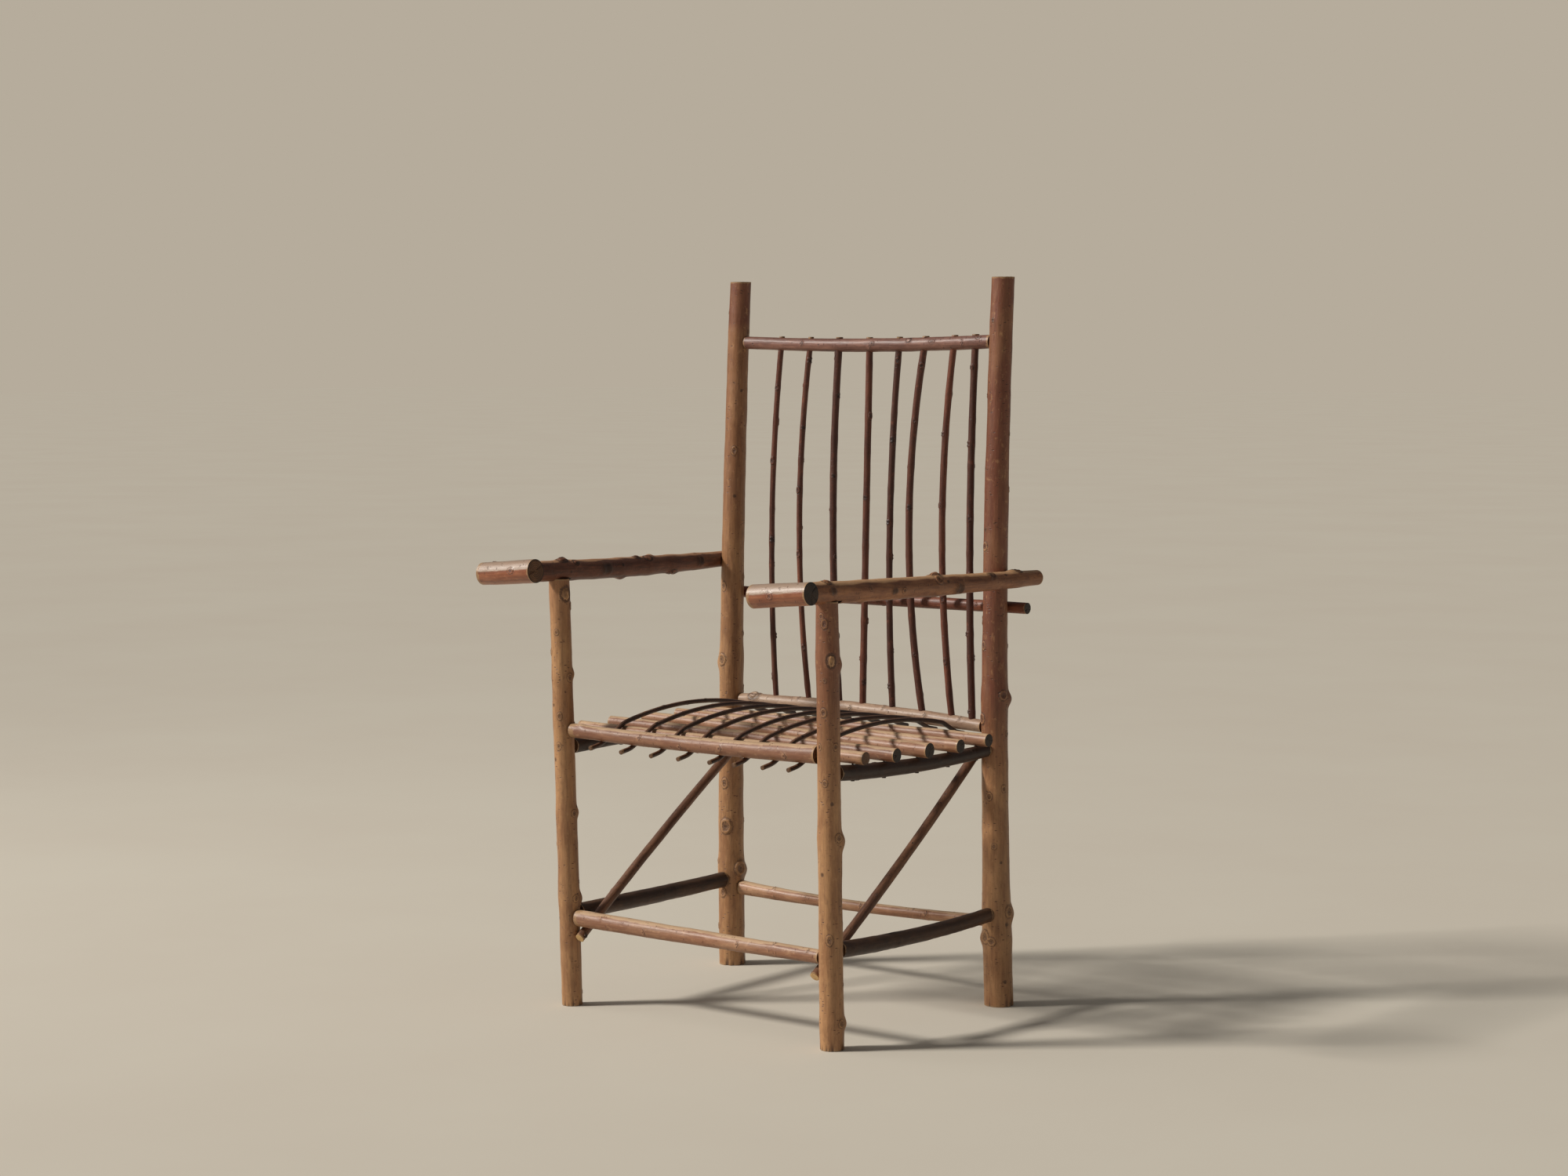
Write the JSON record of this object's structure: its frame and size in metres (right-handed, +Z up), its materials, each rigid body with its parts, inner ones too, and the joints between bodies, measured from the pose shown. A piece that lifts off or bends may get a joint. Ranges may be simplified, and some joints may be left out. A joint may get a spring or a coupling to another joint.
{
  "type": "twig armchair",
  "caption": "Rustic armchair of round bark-on sticks with a spindle back and a seat of springy rods woven over cross logs.",
  "frame": {"origin": "on the floor under the middle of the chair", "axes": "+Z up, +X to the right of someone facing the chair, +Y to the rear"},
  "size_m": [0.6251, 0.5978, 1.105],
  "materials": {
    "tan_bark": "varnished bark, satin",
    "red_bark": "varnished bark, worn and satin",
    "brown_bark": "varnished bark, satin",
    "dark_bark": "dark varnished bark, satin",
    "pale_bark": "pale varnished bark, satin",
    "iron_nail": "dull dark steel wire"
  },
  "bodies": {
    "root": {"arm_dowels": "pale_bark", "arm_left": "tan_bark", "arm_right": "tan_bark", "back_post_left": "tan_bark", "back_post_right": "tan_bark", "back_seat_rail": "pale_bark", "brace_left": "brown_bark", "brace_nails": "iron_nail", "brace_right": "brown_bark", "front_leg_left": "tan_bark", "front_leg_right": "tan_bark", "front_seat_rail": "pale_bark", "hand_grip_left": "red_bark", "hand_grip_right": "red_bark", "lower_back_stretcher": "tan_bark", "lower_front_stretcher": "tan_bark", "lower_side_stretcher_left": "tan_bark", "lower_side_stretcher_right": "tan_bark", "mid_back_rail": "brown_bark", "mid_rail_nails": "iron_nail", "seat_log_1": "pale_bark", "seat_log_2": "pale_bark", "seat_log_3": "pale_bark", "seat_log_4": "pale_bark", "seat_log_5": "pale_bark", "seat_log_nails": "iron_nail", "seat_twig_1": "dark_bark", "seat_twig_2": "dark_bark", "seat_twig_3": "dark_bark", "seat_twig_4": "dark_bark", "seat_twig_5": "dark_bark", "seat_twig_6": "dark_bark", "seat_twig_7": "dark_bark", "seat_twig_8": "dark_bark", "side_seat_rail_left": "dark_bark", "side_seat_rail_right": "dark_bark", "spindle_1": "brown_bark", "spindle_2": "brown_bark", "spindle_3": "brown_bark", "spindle_4": "brown_bark", "spindle_5": "brown_bark", "spindle_6": "brown_bark", "spindle_7": "brown_bark", "spindle_8": "brown_bark", "top_rail": "pale_bark"}
  },
  "joints": []
}
